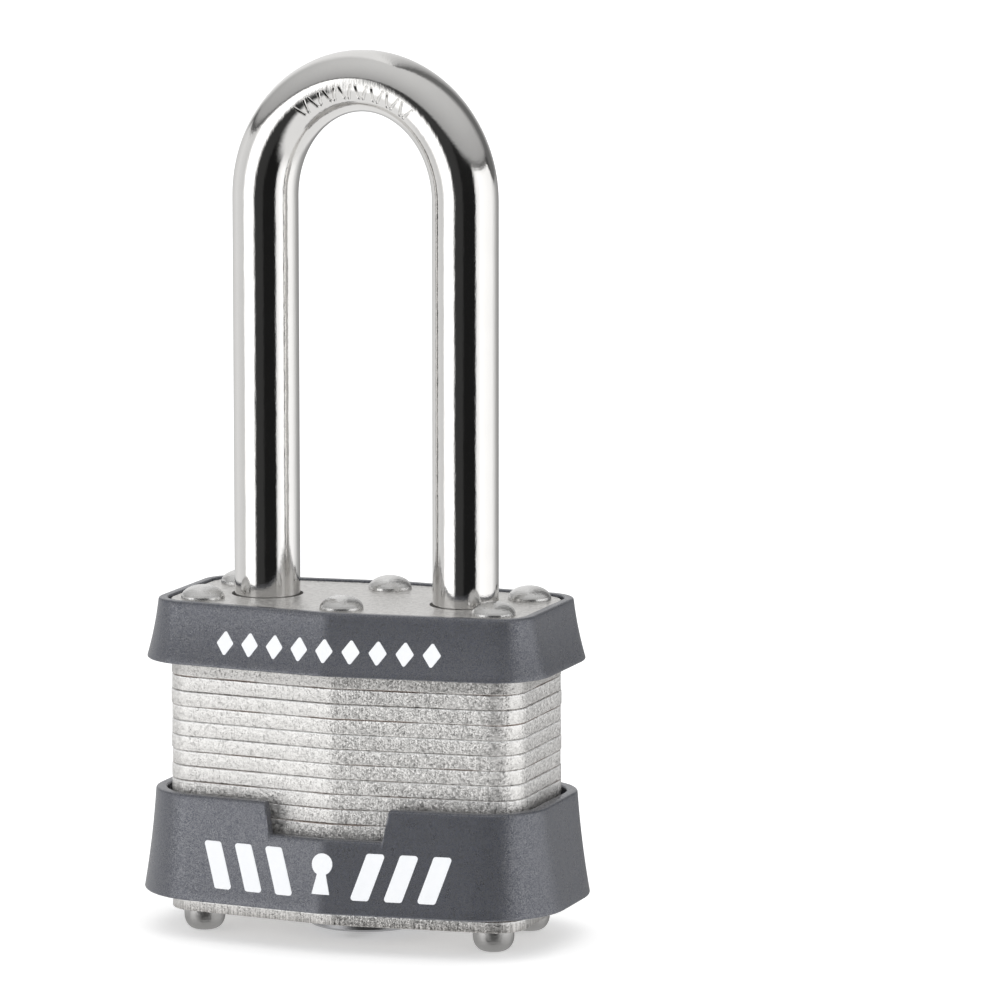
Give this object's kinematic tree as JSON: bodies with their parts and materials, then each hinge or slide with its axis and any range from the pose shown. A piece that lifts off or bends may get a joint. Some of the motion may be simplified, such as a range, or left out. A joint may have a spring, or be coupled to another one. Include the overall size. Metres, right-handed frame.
{
  "type": "laminated padlock",
  "caption": "Long-shackle padlock: a riveted stack of steel plates with plastic bumpers, a chromed shackle that lifts, and a turning key plug that works two locking levers.",
  "frame": {"origin": "on the plane of the bottom rivets' feet, under the middle of the body, with +Z up through the shackle", "axes": "+Z from the key end to the shackle's bow; +X from the heel leg to the toe leg; the notched front face of the lower bumper looks towards -Y"},
  "size_m": [0.0472, 0.028, 0.0939],
  "materials": {
    "plate_steel": "zinc-plated stamped steel, satin",
    "rivet_steel": "zinc-plated, satin",
    "bumper_plastic": "satin moulded, fine metallic fleck",
    "shackle_chrome": "bright polished",
    "lever_steel": "plain stamped, hardened",
    "spring_steel": "drawn wire",
    "cast_zinc": "die-cast zinc, dull",
    "plug_nickel": "nickel-plated brass, turned, dull grey",
    "tail_brass": "machined brass, satin",
    "mark_white": "pad-printed white ink",
    "pin_brass": "turned brass"
  },
  "bodies": {
    "case": {"bottom_cover_plate": "plate_steel", "cylinder_plate_01": "plate_steel", "cylinder_plate_02": "plate_steel", "cylinder_plate_03": "plate_steel", "cylinder_plate_04": "plate_steel", "cylinder_plate_05": "plate_steel", "cylinder_plate_06": "plate_steel", "cylinder_plate_07": "plate_steel", "cylinder_plate_08": "plate_steel", "cylinder_plate_09": "plate_steel", "cylinder_plate_10": "plate_steel", "cylinder_plate_11": "plate_steel", "cylinder_plate_12": "plate_steel", "divider_plate_1": "plate_steel", "divider_plate_2": "plate_steel", "lever_plate_1": "plate_steel", "lever_plate_2": "plate_steel", "upper_plate_1": "plate_steel", "upper_plate_2": "plate_steel", "upper_plate_3": "plate_steel", "upper_plate_4": "plate_steel", "corner_rivets": "rivet_steel", "lever_pivot_rivet_front": "rivet_steel", "lever_pivot_rivet_rear": "rivet_steel", "upper_bumper": "bumper_plastic", "lower_bumper": "bumper_plastic", "heel_retainer": "lever_steel", "shackle_spring": "spring_steel", "heel_lever_spring": "spring_steel", "toe_lever_spring": "spring_steel", "cylinder_shell": "cast_zinc", "pin_cover": "tail_brass", "driver_pin_1": "pin_brass", "pin_spring_1": "spring_steel", "driver_pin_2": "pin_brass", "pin_spring_2": "spring_steel", "driver_pin_3": "pin_brass", "pin_spring_3": "spring_steel", "driver_pin_4": "pin_brass", "pin_spring_4": "spring_steel"},
    "shackle": {"shackle": "shackle_chrome"},
    "plug": {"plug": "plug_nickel", "plug_clip": "lever_steel", "tailpiece": "tail_brass", "key_pin_1": "pin_brass", "key_pin_2": "pin_brass", "key_pin_3": "pin_brass", "key_pin_4": "pin_brass"},
    "heel_lever": {"heel_lever": "lever_steel"},
    "toe_lever": {"toe_lever": "lever_steel"}
  },
  "joints": [
    {"name": "shackle_lift", "type": "slide", "parent": "case", "child": "shackle", "axis": [0, 0, 1], "range_m": [0, 0.013], "deforming": ["shackle_spring"]},
    {"name": "plug_turn", "type": "hinge", "parent": "case", "child": "plug", "pos_m": [0, 0, 0.012], "axis": [0, 0, 1], "range_deg": [-90, 0]},
    {"name": "heel_lever_swing", "type": "hinge", "parent": "case", "child": "heel_lever", "pos_m": [0, -0.00712, 0.0276], "axis": [0, 0, 1], "range_deg": [0, 12], "deforming": ["heel_lever_spring"]},
    {"name": "toe_lever_swing", "type": "hinge", "parent": "case", "child": "toe_lever", "pos_m": [0, 0.00712, 0.0276], "axis": [0, 0, 1], "range_deg": [0, 12], "deforming": ["toe_lever_spring"]}
  ],
  "couplings": [
    {"joint": "heel_lever_swing", "follows": "plug_turn", "ratio": -0.13333},
    {"joint": "toe_lever_swing", "follows": "plug_turn", "ratio": -0.13333}
  ]
}
